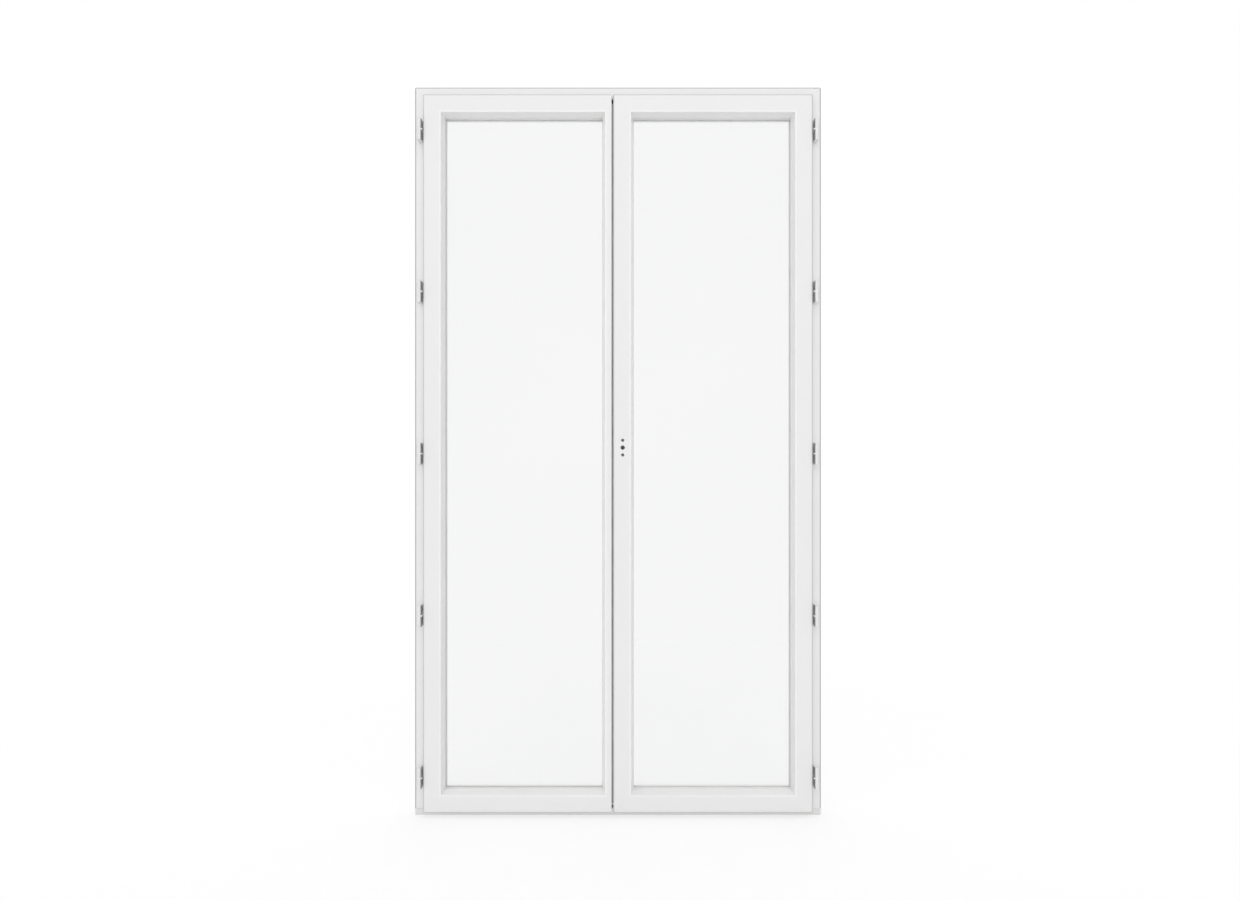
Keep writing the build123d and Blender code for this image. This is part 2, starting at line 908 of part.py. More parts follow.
def lock_strikers():
    """Strikers in the passive leaf's edge: a plate with a wall that each cam slides behind."""
    with BuildPart() as strikers:
        for height, way in cams():
            edge_plate(-1, height - striker_length / 2, height + striker_length / 2)
            low = height + way * (cam_head_radius + striker_entry)
            high = height + way * striker_length / 2
            box_between(
                (-meeting_edge - groove_depth, groove_front, min(low, high)),
                (-meeting_edge + striker_reach, groove_front + striker_wall, max(low, high)),
            )
    return strikers


# Edge bolts: they hold the passive leaf at its top and foot
def thumb_height(way):
    """The middle of the thumb block, near the withdrawn bolt's inner end."""
    return rod_tip(way) - way * (bolt_length - thumb_from_end)


def edge_bolt(way):
    """The sliding bolt, with a thumb block that shows in the plate's slot."""
    tip = rod_tip(way)
    back = tip - way * bolt_length
    thumb = thumb_height(way)
    with BuildPart() as bolt:
        rod_box(-1, min(tip, back), max(tip, back))
        box_between(
            (-rod_middle_x, groove_middle - thumb_width / 2, thumb - thumb_length / 2),
            (-meeting_edge - thumb_setback, groove_middle + thumb_width / 2, thumb + thumb_length / 2),
        )
    return bolt


def bolt_plate(way):
    """The plate that keeps an edge bolt in the groove, slotted for its thumb block."""
    end = leaf_top - groove_floor if way > 0 else leaf_bottom + groove_floor
    back = end - way * bolt_plate_length
    slot_middle = thumb_height(way) + way * rod_travel / 2
    half_slot = (thumb_length + rod_travel) / 2 + thumb_clearance
    half_width_of_slot = thumb_width / 2 + thumb_clearance
    with BuildPart() as plate:
        edge_plate(-1, min(end, back), max(end, back))
        box_between(
            (-meeting_edge - groove_depth, groove_middle - half_width_of_slot, slot_middle - half_slot),
            (-meeting_edge, groove_middle + half_width_of_slot, slot_middle + half_slot),
            Mode.SUBTRACT,
        )
    return plate


# Write every piece
save(outer_frame(), "outer_frame")
save(frame_gasket(), "frame_gasket")
save(threshold_inner_rail(), "threshold_inner_rail")
save(threshold_thermal_break(), "threshold_thermal_break")
save(threshold_outer_rail(), "threshold_outer_rail")
save(keep_plate(head_rebate - keep_thickness, head_rebate), "head_keep")
save(keep_plate(threshold_height, threshold_height + keep_thickness), "threshold_keep")

for side, place in ((-1, "left"), (1, "right")):
    save(threshold_end_cap(side), f"threshold_end_cap_{place}")
    save(jamb_foot(side), f"jamb_foot_{place}")
    save(hinge_bases(side), f"hinge_bases_{place}")
    save(hinge_pins(side), f"hinge_pins_{place}")

save(active_sash(), "active_sash")
save(passive_sash(), "passive_sash")

weather_bar_end = half_width - frame_outer_leg - weather_bar_jamb_gap
weather_bars = {
    "active": (cover_strip_front + weather_bar_strip_gap, weather_bar_end),
    "passive": (-weather_bar_end, -cover_strip_back - cover_strip_foot - weather_bar_foot_gap),
}
spacer_outer = glass_inset + spacer_inset
spacer_inner = spacer_outer + spacer_height
spacer_front = inner_pane_front + pane_thickness
inner_seal_end = sight_line + glazing_seal_show
outer_seal_end = outer_sight_line + glazing_seal_show

for leaf, ring, side in (("active", active_ring, 1), ("passive", passive_ring, -1)):
    for edge in ("left", "right", "bottom", "top"):
        save(glazing_bead(ring, edge), f"{leaf}_bead_{edge}")
    save(glass_pane(ring, inner_pane_front), f"{leaf}_inner_pane")
    save(glass_pane(ring, outer_pane_front), f"{leaf}_outer_pane")
    spacer = flat_ring(ring, spacer_outer, spacer_inner, spacer_front, outer_pane_front)
    save(spacer, f"{leaf}_spacer")
    inner_seal = flat_ring(ring, glass_inset, inner_seal_end, bead_back, inner_pane_front)
    save(inner_seal, f"{leaf}_inner_glazing_seal")
    outer_seal = flat_ring(ring, glass_inset, outer_seal_end, glass_back, outer_leg_front)
    save(outer_seal, f"{leaf}_outer_glazing_seal")
    save(setting_blocks(ring), f"{leaf}_setting_blocks")
    save(lip_gasket(ring, side, leaf == "passive"), f"{leaf}_lip_gasket")
    save(weather_bar(*weather_bars[leaf]), f"{leaf}_weather_bar")
    save(hinge_straps(side), f"{leaf}_hinge_straps")
    save(hinge_collars(side), f"{leaf}_hinge_collars")

save(meeting_cover_strip(), "meeting_cover_strip")
save(lock_strikers(), "lock_strikers")
save(gearbox_case(), "gearbox_case")
save(spindle_follower(), "spindle_follower")
save(lock_faceplate(), "lock_faceplate")
save(lock_rod(1), "upper_lock_rod")
save(lock_rod(-1), "lower_lock_rod")
for way, place in ((1, "top"), (-1, "bottom")):
    save(edge_bolt(way), f"{place}_edge_bolt")
    save(bolt_plate(way), f"{place}_bolt_plate")
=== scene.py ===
# %% [markdown]
# # French doors in white plastic profiles
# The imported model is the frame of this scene: it has every profile, pane, hinge and lock piece in place.
# This lesson gives each of them its finish, adds the small fasteners, and sets the camera and the light.
# All of it is in metres: +X to the right as seen from the room, +Y outdoors, +Z up.

import json
import math

import bpy
import numpy as np
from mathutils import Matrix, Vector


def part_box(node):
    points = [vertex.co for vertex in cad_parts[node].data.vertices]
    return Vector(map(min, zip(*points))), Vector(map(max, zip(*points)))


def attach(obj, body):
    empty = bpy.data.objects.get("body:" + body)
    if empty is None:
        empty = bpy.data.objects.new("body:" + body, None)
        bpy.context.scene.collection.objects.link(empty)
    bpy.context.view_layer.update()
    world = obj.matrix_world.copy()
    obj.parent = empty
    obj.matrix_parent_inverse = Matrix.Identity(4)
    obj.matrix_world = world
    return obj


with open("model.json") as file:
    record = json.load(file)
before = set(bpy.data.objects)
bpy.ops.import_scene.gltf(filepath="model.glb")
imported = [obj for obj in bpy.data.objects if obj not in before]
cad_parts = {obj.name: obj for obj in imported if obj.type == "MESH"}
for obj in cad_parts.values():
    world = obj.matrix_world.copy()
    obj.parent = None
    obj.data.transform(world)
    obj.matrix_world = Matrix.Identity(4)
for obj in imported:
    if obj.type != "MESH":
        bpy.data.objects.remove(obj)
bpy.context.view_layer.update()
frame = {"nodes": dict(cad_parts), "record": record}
nodes = frame["nodes"]

# %% [markdown]
# ## Sizes that the finishes need
# A plastic frame or sash is cut from straight lengths, mitred and welded at its corners.
# Its finish has to know where those mitres run, so the corners of each ring are measured here.

# %% Measure the rings
active_low, active_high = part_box("active_sash")
passive_low, passive_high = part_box("passive_sash")
frame_low, frame_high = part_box("outer_frame")
rings = {
    "outer_frame": (frame_low.x, frame_high.x, None, frame_high.z),
    "active_sash": (active_low.x, active_high.x, active_low.z, active_high.z),
    "passive_sash": (-active_high.x, -active_low.x, active_low.z, active_high.z),
}
for name, ring in rings.items():
    print(name, "runs between", [None if v is None else round(v, 4) for v in ring])

# %% [markdown]
# ## A short way to write shader nodes
# Every finish is a small network of nodes.
# One helper adds a node, sets its options and joins its inputs, so that a network reads from top to bottom.


# %% Helpers for shader nodes
def add_node(material, kind, inputs=None, **options):
    """Adds one node. An input is joined where its value is another socket, and set where it is a number."""
    node = material.node_tree.nodes.new(kind)
    for key, value in options.items():
        setattr(node, key, value)
    for key, value in (inputs or {}).items():
        if isinstance(value, bpy.types.NodeSocket):
            material.node_tree.links.new(value, node.inputs[key])
        else:
            node.inputs[key].default_value = value
    return node


def maths(material, operation, first, second=0.0, clamp=False):
    """One sum on two numbers or sockets, as a socket."""
    node = add_node(material, "ShaderNodeMath", {0: first, 1: second}, operation=operation, use_clamp=clamp)
    return node.outputs[0]


def blend_colours(material, share, first, second):
    """The first colour where share is 0 and the second where it is 1."""
    node = add_node(material, "ShaderNodeMix", {0: share, 6: first, 7: second}, data_type="RGBA")
    return node.outputs[2]


def noise(material, vector, scale, detail=2.0, roughness=0.5):
    """Cloudy values between 0 and 1."""
    inputs = {"Vector": vector, "Scale": scale, "Detail": detail, "Roughness": roughness}
    return add_node(material, "ShaderNodeTexNoise", inputs).outputs["Fac"]


def spread(material, value, low, high):
    """Takes values from about 0.3 to 0.7, where noise mostly lies, to the range from low to high."""
    inputs = {"Value": value, "From Min": 0.3, "From Max": 0.7, "To Min": low, "To Max": high}
    return add_node(material, "ShaderNodeMapRange", inputs).outputs["Result"]


def new_material(name, metallic=0.0, ior=1.5):
    """A material with its surface shader, and the object's own coordinates in metres."""
    material = bpy.data.materials.new(name)
    material.use_nodes = True
    surface = material.node_tree.nodes["Principled BSDF"]
    surface.inputs["Metallic"].default_value = metallic
    surface.inputs["IOR"].default_value = ior
    place = add_node(material, "ShaderNodeTexCoord").outputs["Object"]
    return material, surface, place


def join(material, value, surface, name):
    """Joins a socket to one of the surface shader's inputs."""
    material.node_tree.links.new(value, surface.inputs[name])


def bump(material, surface, height, strength, distance):
    """Raises the surface by height times distance, as light sees it."""
    inputs = {"Height": height, "Strength": strength, "Distance": distance}
    join(material, add_node(material, "ShaderNodeBump", inputs).outputs["Normal"], surface, "Normal")


print("helpers for nodes are ready")

# %% [markdown]
# ## White plastic profile
# Window profile is extruded plastic with a satin skin.
# It shows very fine lines along its length, from the die, and a faint unevenness that softens reflections.
# The lines run up a stile and along a rail, so the finish asks which side of the mitre a point is on.
# At the mitre the two lengths are welded and the bead is cleaned off, which leaves a fine shallow groove.
# In the photo a fine grey line runs along the rounded front corner of each profile, and it draws the white door on
# its white ground. The rounding is too small for even light to shade it at this scale, so the finish adds the tone:
# it is paint that stands for shading, not a colour that the real profile has.


# %% Profile finish
profile_white = (0.86, 0.862, 0.858, 1)
cloud_scale = 3.0
cloud_darkening = 0.985
die_line_scale = 1400.0
die_line_stretch = 0.004
skin_scale = 260.0
weld_grey = (0.6, 0.6, 0.59, 1)
weld_share = 0.25
weld_depth = 1.5
weld_half_width = 0.0004
corner_grey = (0.1, 0.1, 0.099, 1)
corner_width = 0.0055


def inset_from(material, x, low, high):
    """How far a coordinate lies in from the nearer of two edges, as a socket."""
    from_low = maths(material, "SUBTRACT", x, low)
    from_high = maths(material, "SUBTRACT", high, x)
    return maths(material, "MINIMUM", from_low, from_high)


def profile_finish(name, ring, front, corner_share):
    """Welded profile round a ring.

    Stile and rail meet where the insets from the side and from the end are equal. The grey of the front corner
    is corner_share at the edge. It falls to nothing corner_width inwards, and between one and two widths back.
    """
    left, right, bottom, top = ring
    material, surface, place = new_material(name)
    split = add_node(material, "ShaderNodeSeparateXYZ", {"Vector": place})
    x, y, z = split.outputs
    side_inset = inset_from(material, x, left, right)
    if bottom is None:
        end_inset = maths(material, "SUBTRACT", top, z)
    else:
        end_inset = inset_from(material, z, bottom, top)
    difference = maths(material, "SUBTRACT", side_inset, end_inset)
    on_rail = maths(material, "GREATER_THAN", difference, 0.0)
    across = add_node(material, "ShaderNodeMix", {0: on_rail, 2: side_inset, 3: end_inset}).outputs[0]
    along = add_node(material, "ShaderNodeMix", {0: on_rail, 2: z, 3: x}).outputs[0]
    stretched = maths(material, "MULTIPLY", along, die_line_stretch)
    lines = add_node(material, "ShaderNodeCombineXYZ", {"X": across, "Y": y, "Z": stretched})
    die_lines = noise(material, lines.outputs[0], die_line_scale, 3.0)
    skin = noise(material, place, skin_scale, 2.0)
    cloud = noise(material, place, cloud_scale, 3.0)
    seam = maths(material, "LESS_THAN", maths(material, "ABSOLUTE", difference), weld_half_width)
    tone = spread(material, cloud, 0.0, 1.0)
    darker = tuple(v * cloud_darkening for v in profile_white[:3]) + (1,)
    colour = blend_colours(material, tone, profile_white, darker)
    inset = maths(material, "MINIMUM", side_inset, end_inset)
    setback = maths(material, "SUBTRACT", y, front)
    behind_corner = maths(material, "SUBTRACT", setback, corner_width)
    near_corner = maths(material, "MAXIMUM", inset, behind_corner)
    inputs = {"Value": near_corner, "From Min": 0.0, "From Max": corner_width}
    inputs.update({"To Min": corner_share, "To Max": 0.0})
    shading = add_node(material, "ShaderNodeMapRange", inputs, interpolation_type="SMOOTHSTEP").outputs["Result"]
    colour = blend_colours(material, shading, colour, corner_grey)
    colour = blend_colours(material, maths(material, "MULTIPLY", seam, weld_share), colour, weld_grey)
    join(material, colour, surface, "Base Color")
    line_roughness = spread(material, die_lines, 0.3, 0.4)
    join(material, maths(material, "ADD", line_roughness, spread(material, skin, -0.02, 0.04)), surface, "Roughness")
    line_relief = maths(material, "MULTIPLY", die_lines, 0.5)
    relief = maths(material, "ADD", line_relief, maths(material, "MULTIPLY", skin, 0.5))
    relief = maths(material, "SUBTRACT", relief, maths(material, "MULTIPLY", seam, weld_depth))
    bump(material, surface, relief, 0.25, 0.0001)
    return material


corner_shares = {"outer_frame": 0.95, "active_sash": 0.45, "passive_sash": 0.45}
profile_materials = {
    name: profile_finish(name + "_finish", ring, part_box(name)[0].y, corner_shares[name])
    for name, ring in rings.items()
}
print("profile finishes:", sorted(profile_materials))

# %% [markdown]
# ## Beads, moulded parts and painted metal
# Beads are the same plastic in straight lengths. Their colour is lighter than the profile's, as painted light that
# lifts the shade in the recess round the glass.
# Powder coat on the weather bars and hinges has the fine ripple called orange peel, a soft noise in the bump.
# All of these come from one recipe, which takes a colour, a scale for the ripple and a depth.


# %% Finishes with a rippled skin
def rippled_finish(name, colour, ripple_scale, ripple_depth, roughness, metallic=0.0):
    """A plain coloured skin with a cloudy tone, a fine ripple and a little unevenness in its gloss."""
    material, surface, place = new_material(name, metallic)
    tone = spread(material, noise(material, place, 9.0, 3.0), 0.0, 1.0)
    darker = tuple(v * 0.965 for v in colour[:3]) + (1,)
    join(material, blend_colours(material, tone, colour, darker), surface, "Base Color")
    ripple = noise(material, place, ripple_scale, 2.0)
    join(material, spread(material, ripple, roughness - 0.05, roughness + 0.05), surface, "Roughness")
    bump(material, surface, ripple, 0.3, ripple_depth)
    return material


finishes = {
    # The bead's white is lighter than the profile's: painted light for the shaded recess round the glass.
    "bead": rippled_finish("bead_finish", (0.93, 0.932, 0.928, 1), 420.0, 0.0001, 0.25),
    "moulding": rippled_finish("moulding_finish", (0.84, 0.842, 0.838, 1), 700.0, 0.0001, 0.45),
    "powder": rippled_finish("powder_coat_finish", (0.85, 0.852, 0.85, 1), 600.0, 0.0002, 0.38),
    "nylon": rippled_finish("nylon_finish", (0.85, 0.85, 0.84, 1), 900.0, 0.0001, 0.42),
    "break": rippled_finish("thermal_break_finish", (0.03, 0.03, 0.032, 1), 900.0, 0.0002, 0.55),
    # The spacer's near-white is painted light: it lifts the shade between the panes where it shows through the
    # glass.
    "spacer": rippled_finish("spacer_finish", (0.94, 0.94, 0.935, 1), 900.0, 0.0001, 0.5),
    "blocks": rippled_finish("setting_block_finish", (0.08, 0.2, 0.45, 1), 700.0, 0.0002, 0.5),
}
print("rippled finishes:", sorted(finishes))

# %% [markdown]
# In the photo the slit between each hinge barrel and the leaf is a short dark line. Even light fills so small a
# slit, so the finish darkens the side of the barrel there. This too is a tone that stands for shading.
# It is kept to the barrel, in front of the leaf, and grows over a millimetre towards the slit.


# %% Hinge finish
def hinge_finish(dark_from, dark_to, behind):
    """The painted finish, darkened where |x| is less than dark_from and fully where it is less than dark_to.

    Nothing is darkened where y is greater than behind.
    """
    material = rippled_finish("hinge_paint_finish", (0.83, 0.832, 0.83, 1), 500.0, 0.0002, 0.3)
    surface = material.node_tree.nodes["Principled BSDF"]
    paint = surface.inputs["Base Color"].links[0].from_socket
    place = add_node(material, "ShaderNodeTexCoord").outputs["Object"]
    x, y, _ = add_node(material, "ShaderNodeSeparateXYZ", {"Vector": place}).outputs
    inputs = {"Value": maths(material, "ABSOLUTE", x), "From Min": dark_to, "From Max": dark_from}
    inputs.update({"To Min": 0.8, "To Max": 0.0})
    shade = add_node(material, "ShaderNodeMapRange", inputs).outputs["Result"]
    shade = maths(material, "MULTIPLY", shade, maths(material, "LESS_THAN", y, behind))
    join(material, blend_colours(material, shade, paint, (0.08, 0.077, 0.072, 1)), surface, "Base Color")
    return material


barrel_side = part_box("hinge_bases_right")[0].x
finishes["hinge"] = hinge_finish(barrel_side + 0.0016, barrel_side + 0.0008, active_low.y)
print("hinge barrels start", round(barrel_side, 4), "m from the middle")

# %% [markdown]
# ## Seals
# The seals are extruded rubber: grey behind the lips, and light round the glass, where they would show. Those round
# the glass are set nearly white, lighter than the rubber's own light grey, as painted light against the shade of the
# recess.
# Rubber is matt, with a dusty bloom and a small sheen at a shallow angle.


# %% Seal finish
def seal_finish(name, grey):
    """Matt rubber with a cloudy bloom, a fine grain and a little sheen."""
    material, surface, place = new_material(name)
    bloom = spread(material, noise(material, place, 60.0, 4.0, 0.6), 0.0, 1.0)
    dusty = tuple(v * 1.05 for v in grey[:3]) + (1,)
    join(material, blend_colours(material, bloom, grey, dusty), surface, "Base Color")
    grain = noise(material, place, 2200.0, 2.0)
    join(material, spread(material, grain, 0.6, 0.75), surface, "Roughness")
    bump(material, surface, grain, 0.3, 0.0001)
    surface.inputs["Sheen Weight"].default_value = 0.1
    return material


finishes["seal"] = seal_finish("lip_seal_finish", (0.5, 0.5, 0.495, 1))
# Nearly white: the rubber's light grey, lifted as painted light for the shaded recess round the glass.
finishes["glazing_seal"] = seal_finish("glazing_seal_finish", (0.88, 0.88, 0.875, 1))
print("seal finishes are ready")

# %% [markdown]
# ## Metal
# The threshold is anodised aluminium, rolled and drawn along its length, so its scratches run along X.
# The lock is zinc-plated steel, whose crystals and dull patches are cells of slightly different tone.


# %% Metal finishes
def drawn_metal(name, colour, roughness):
    """Metal with fine lines along X, from a noise that is stretched that way."""
    material, surface, place = new_material(name, 1.0)
    stretched = add_node(material, "ShaderNodeMapping", {"Vector": place, "Scale": (6.0, 1500.0, 1500.0)})
    lines = noise(material, stretched.outputs[0], 1.0, 3.0)
    darker = tuple(v * 0.88 for v in colour[:3]) + (1,)
    join(material, blend_colours(material, spread(material, lines, 0, 1), colour, darker), surface, "Base Color")
    join(material, spread(material, lines, roughness - 0.06, roughness + 0.08), surface, "Roughness")
    bump(material, surface, lines, 0.35, 0.00005)
    return material


def plated_metal(name, colour, roughness):
    """Zinc plating: cells of slightly different tone, under a soft cloud of passivation."""
    material, surface, place = new_material(name, 1.0)
    cells = add_node(material, "ShaderNodeTexVoronoi", {"Vector": place, "Scale": 500.0})
    tone = add_node(material, "ShaderNodeSeparateColor", {"Color": cells.outputs["Color"]}).outputs[0]
    cloud = spread(material, noise(material, place, 45.0, 4.0), 0.0, 1.0)
    darker = tuple(v * 0.8 for v in colour[:3]) + (1,)
    warm = (colour[0] * 0.98, colour[1] * 0.95, colour[2] * 0.86, 1)
    mixed = blend_colours(material, maths(material, "MULTIPLY", tone, 0.4), colour, darker)
    mixed = blend_colours(material, maths(material, "MULTIPLY", cloud, 0.35), mixed, warm)
    join(material, mixed, surface, "Base Color")
    fine = noise(material, place, 1200.0, 2.0)
    join(material, spread(material, fine, roughness - 0.05, roughness + 0.1), surface, "Roughness")
    bump(material, surface, fine, 0.3, 0.00005)
    return material


finishes["aluminium"] = drawn_metal("anodised_finish", (0.78, 0.78, 0.775, 1), 0.34)
finishes["steel"] = plated_metal("plated_steel_finish", (0.62, 0.62, 0.6, 1), 0.32)
finishes["follower"] = plated_metal("follower_finish", (0.1, 0.1, 0.105, 1), 0.45)
print("metal finishes are ready")

# %% [markdown]
# ## Glass
# Float glass is clear with a trace of green that shows best edge-on.
# The panes are solids of their true thickness, so the shader can be real transmission with the glass's own index.
# A renderer finds light behind such glass only by luck, so for the rays that look for light the panes are plainly
# see-through, and the recess between the beads is lit through the glass as it is on the real door.
# A very slight, wide unevenness in the gloss stands for a pane that has been wiped.


# %% Glass finish
def glass_finish():
    """True transmission for what is seen, and plain see-through for the rays that look for light."""
    material, surface, place = new_material("glass_finish", 0.0, 1.5)
    wiped = spread(material, noise(material, place, 2.5, 3.0), 0.0, 0.01)
    join(material, wiped, surface, "Roughness")
    tint = spread(material, noise(material, place, 1.2, 2.0), 0.0, 1.0)
    colour = blend_colours(material, tint, (0.961, 0.963, 0.962, 1), (0.951, 0.954, 0.953, 1))
    join(material, colour, surface, "Base Color")
    surface.inputs["Transmission Weight"].default_value = 1.0
    path = add_node(material, "ShaderNodeLightPath")
    searching = maths(material, "MAXIMUM", path.outputs["Is Shadow Ray"], path.outputs["Is Diffuse Ray"])
    clear = add_node(material, "ShaderNodeBsdfTransparent", {"Color": (0.98, 0.98, 0.98, 1)})
    mixed = add_node(material, "ShaderNodeMixShader", {0: searching, 1: surface.outputs[0], 2: clear.outputs[0]})
    output = material.node_tree.nodes["Material Output"]
    material.node_tree.links.new(mixed.outputs[0], output.inputs["Surface"])
    return material


finishes["glass"] = glass_finish()
print("glass finish is ready")

# %% [markdown]
# ## Give each piece its finish
# The record names each piece's material slot, so the finish is looked up from that, and only the three
# welded rings have one of their own, because their mitres are in different places.

# %% Assign the finishes
finish_of_slot = {
    "white_profile": "bead",
    "white_moulding": "moulding",
    "white_aluminium": "powder",
    "white_hinge_paint": "hinge",
    "threshold_aluminium": "aluminium",
    "break_plastic": "break",
    "grey_seal": "seal",
    "block_plastic": "blocks",
    "spacer_bar": "spacer",
    "clear_glass": "glass",
    "zinc_steel": "steel",
    "follower_zinc": "follower",
    "nylon": "nylon",
}
slot_of_node = {part["node"]: part["material_slot"] for part in frame["record"]["subparts"]}
for name, piece in nodes.items():
    finish = "glazing_seal" if name.endswith("glazing_seal") else finish_of_slot[slot_of_node[name]]
    material = profile_materials.get(name) or finishes[finish]
    piece.data.materials.clear()
    piece.data.materials.append(material)
print("finished", len(nodes), "pieces")

# %% [markdown]
# ## Screws
# The faceplate, strikers, bolt plates, keeps and hinge straps are held by screws with a raised head and a cross.
# A screw's head is a surface of turning with a cross pressed into it, so it is worked out on a polar grid:
# the distance from the middle gives the dome, and the distance from the cross's arms gives the recess.


# %% Shape of a screw head
def screw_head(radius, rings_count=12, spokes=48):
    """Points and faces of a head that faces +Z, its rim at height 0.

    The dome is a parabola a seventh of the radius high. The cross is where a point lies within an arm's half
    width of either axis; its depth grows quickly from the arm's end, and stops level with the rim, because
    the plate below has no hole and would hide anything deeper. All five measures are shares of the radius.
    """
    dome_rise, arm_half_width, arm_edge, arm_length, cross_depth = 0.14, 0.17, 0.05, 0.62, 0.5
    steps = np.linspace(0.0, 1.0, rings_count)[:, None]
    angles = np.linspace(0.0, 2 * np.pi, spokes, endpoint=False)[None, :]
    x = radius * steps * np.cos(angles)
    y = radius * steps * np.sin(angles)
    dome = dome_rise * radius * (1 - steps**2) * np.ones_like(angles)
    nearest_axis = np.minimum(np.abs(x), np.abs(y))
    arm = np.clip((arm_half_width * radius - nearest_axis) / (arm_edge * radius), 0, 1)
    reach = np.clip(1 - np.hypot(x, y) / (arm_length * radius), 0, 1)
    z = np.maximum(dome - arm * cross_depth * radius * reach**0.5, 0.0)
    points = np.stack([x, y, z], axis=-1).reshape(-1, 3)
    inner = (np.arange(rings_count - 1)[:, None] * spokes + np.arange(spokes)[None, :]).ravel()
    turned = (np.arange(rings_count - 1)[:, None] * spokes + (np.arange(spokes)[None, :] + 1) % spokes).ravel()
    faces = np.stack([inner, inner + spokes, turned + spokes, turned], axis=-1)
    return points, faces


head_radius = 0.0034
head_points, head_faces = screw_head(head_radius)
print("a screw head has", len(head_faces), "faces")

# %% [markdown]
# Many equal screws are one mesh: the head's points are turned the way the screw faces and moved to each place.
# That is one sum over all screws at once, and it keeps the number of objects small.


# %% Put screws in rows
def face_along(direction):
    """A turn that takes +Z to the given direction, as three columns."""
    z = np.asarray(direction, float)
    x = np.cross((0.0, 0.0, 1.0), z)
    x = np.array([1.0, 0.0, 0.0]) if np.linalg.norm(x) < 1e-6 else x / np.linalg.norm(x)
    return np.stack([x, np.cross(z, x), z], axis=1)


cross_turn = 0.7


def make_screws(name, places, direction, body):
    """Copies the head to every place, with each one turned a little further so that the crosses differ."""
    places = np.asarray(places, float)
    count = len(places)
    turn = np.arange(count) * cross_turn
    c, s, zero, one = np.cos(turn), np.sin(turn), np.zeros(count), np.ones(count)
    rows = ([c, -s, zero], [s, c, zero], [zero, zero, one])
    spins = np.stack([np.stack(row, -1) for row in rows], 1)
    local = np.einsum("nij,pj->npi", spins, head_points)
    points = local @ face_along(direction).T + places[:, None, :]
    faces = head_faces[None, :, :] + np.arange(count)[:, None, None] * len(head_points)
    mesh = bpy.data.meshes.new(name)
    mesh.from_pydata(points.reshape(-1, 3), [], faces.reshape(-1, 4))
    mesh.polygons.foreach_set("use_smooth", np.ones(len(mesh.polygons), bool))
    mesh.materials.append(finishes["steel"])
    screws = bpy.data.objects.new(name, mesh)
    bpy.context.scene.collection.objects.link(screws)
    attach(screws, body)
    print(name, "has", count, "screws")
    return screws


plate_low, plate_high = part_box("lock_faceplate")
plate_middle_y = (plate_low.y + plate_high.y) / 2
plate_end = 0.012
plate_heights = np.linspace(plate_low.z + plate_end, plate_high.z - plate_end, 11)
proud = 0.00005
make_screws(
    "faceplate_screws",
    [(plate_low.x - proud, plate_middle_y, height) for height in plate_heights],
    (-1, 0, 0),
    "active_leaf",
)

# %% [markdown]
# The passive leaf's two bolt plates are screwed into its meeting edge, with a screw near each end.

# %% Screws in the passive leaf's edge
top_plate_low, top_plate_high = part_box("top_bolt_plate")
foot_plate_low, foot_plate_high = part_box("bottom_bolt_plate")
edge_x = top_plate_high.x + proud
end_gap = 0.009
bolt_plate_heights = [
    top_plate_high.z - end_gap,
    top_plate_low.z + end_gap,
    foot_plate_high.z - end_gap,
    foot_plate_low.z + end_gap,
]
make_screws(
    "bolt_plate_screws",
    [(edge_x, plate_middle_y, height) for height in bolt_plate_heights],
    (1, 0, 0),
    "passive_leaf",
)

# %% [markdown]
# Each hinge strap is screwed to the leaf's edge, inside the gap between leaf and frame, with two screws.
# They show only while the leaf stands open. The five straps are spread evenly over the height of their box.

# %% Screws in the hinge straps
strap_low, strap_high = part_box("active_hinge_straps")
strap_height = 0.02925
strap_thickness = 0.003
screw_setback = 0.009
screw_offset = 0.007
strap_middles = np.linspace(strap_low.z + strap_height / 2, strap_high.z - strap_height / 2, 5)
flange_x = strap_low.x + strap_thickness + proud
for side, body in ((1, "active_leaf"), (-1, "passive_leaf")):
    places = [
        (side * flange_x, strap_high.y - screw_setback, middle + offset)
        for middle in strap_middles
        for offset in (-screw_offset, screw_offset)
    ]
    make_screws(body + "_strap_screws", places, (side, 0, 0), body)

# %% [markdown]
# Each striker has one screw at the end that its wall leaves free, and each keep one between its two pockets.

# %% Screws in the strikers and the keeps
cam_distances = (0.287, 0.687)
free_end = 0.022
striker_heights = [passive_low.z + distance + free_end for distance in cam_distances]
striker_heights += [passive_high.z - distance - free_end for distance in cam_distances]
make_screws(
    "striker_screws",
    [(edge_x, plate_middle_y, height) for height in striker_heights],
    (1, 0, 0),
    "passive_leaf",
)
head_keep_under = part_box("head_keep")[0].z
threshold_keep_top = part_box("threshold_keep")[1].z
make_screws("head_keep_screw", [(0, plate_middle_y, head_keep_under - proud)], (0, 0, -1), "frame")
make_screws("threshold_keep_screw", [(0, plate_middle_y, threshold_keep_top + proud)], (0, 0, 1), "frame")

# %% [markdown]
# ## Camera
# The photograph looks straight at the closed doors from the room, a little above half their height.
# One pixel of it covers 2.955 mm at the front of the frame, so the lens follows from the distance:
# the width that the picture covers there, over the distance, is the sensor's width over the focal length.

